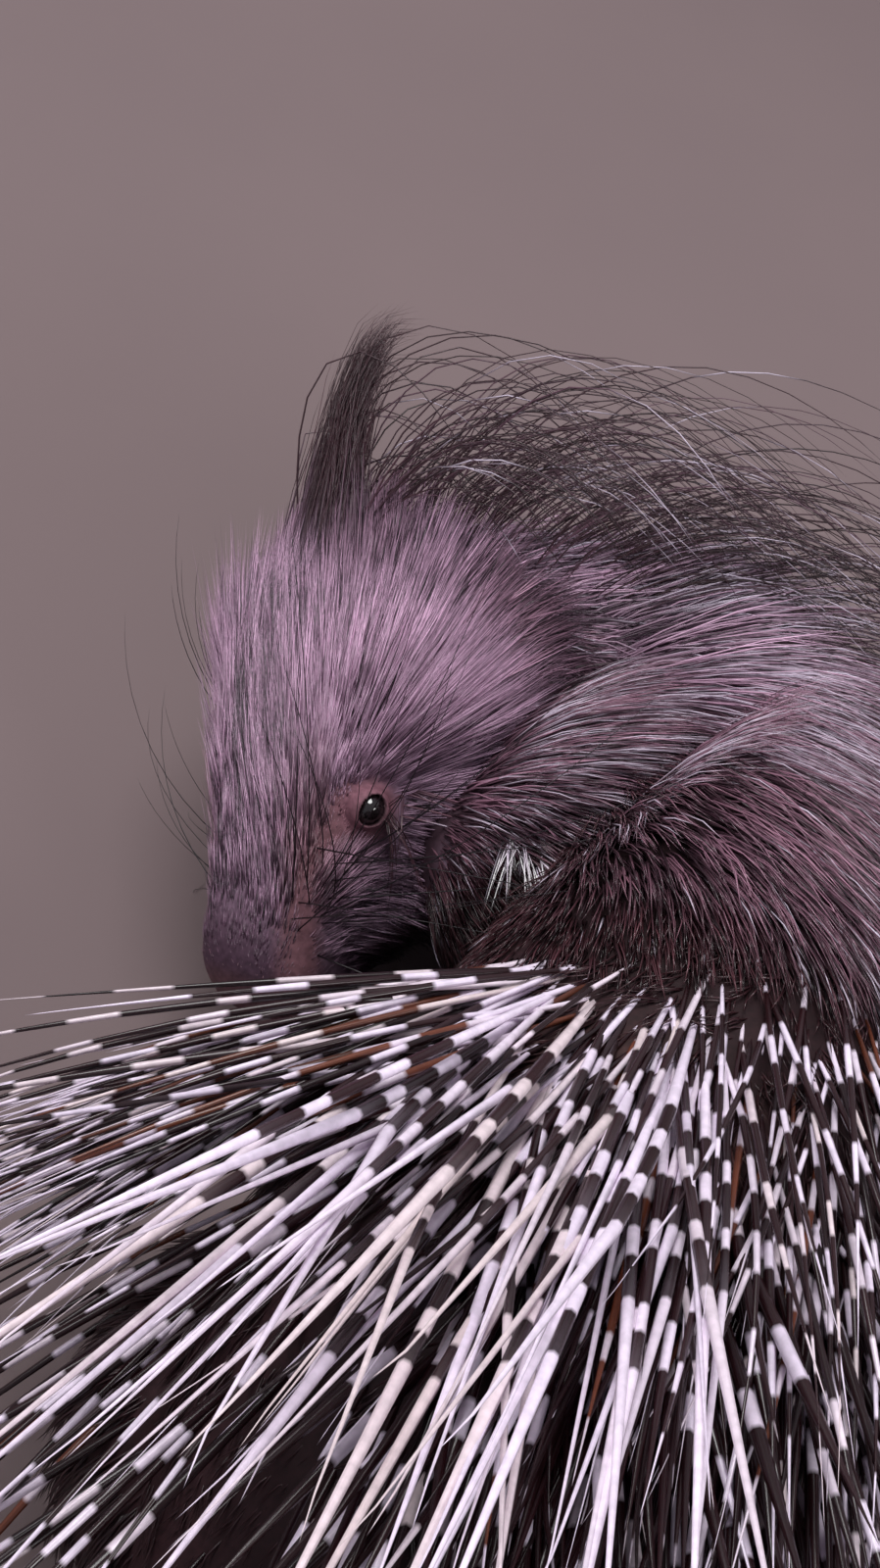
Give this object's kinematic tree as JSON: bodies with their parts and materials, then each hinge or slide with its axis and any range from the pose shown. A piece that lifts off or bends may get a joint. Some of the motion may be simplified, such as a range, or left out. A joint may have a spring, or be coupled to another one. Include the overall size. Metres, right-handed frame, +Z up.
{
  "type": "crested porcupine model",
  "caption": "Life-size still model of a crouched crested porcupine with its head turned back along the left flank, with crest, bristles and raised banded quills.",
  "frame": {"origin": "middle of the underside of the bounding box, on the floor", "axes": "+Z up, +X towards the animal's right, +Y from the rump towards the shoulders"},
  "size_m": [0.4704, 0.6488, 0.3542],
  "materials": {
    "head_fur": "short purple-grey bristly fur, slightly glossy",
    "crest_bristles": "long dark brown bristles with pale tips, silky",
    "body_quills": "smooth horn quills banded black-brown and cream white, over dark bristles",
    "rattle_quills": "pale hollow tail quills, smooth",
    "leg_fur": "short dark brown bristles",
    "foot_skin": "dark bare skin with sparse short hair, matt",
    "ear_skin": "thin pinkish-brown skin, matt",
    "eye_gloss": "wet black, very glossy"
  },
  "bodies": {
    "root": {"head": "head_fur", "neck": "crest_bristles", "torso": "body_quills", "tail": "rattle_quills", "ear_left": "ear_skin", "ear_right": "ear_skin", "eye_left": "eye_gloss", "eye_right": "eye_gloss", "fore_leg_left": "leg_fur", "fore_foot_left": "foot_skin", "hind_leg_left": "leg_fur", "hind_foot_left": "foot_skin", "fore_leg_right": "leg_fur", "fore_foot_right": "foot_skin", "hind_leg_right": "leg_fur", "hind_foot_right": "foot_skin"}
  },
  "joints": []
}
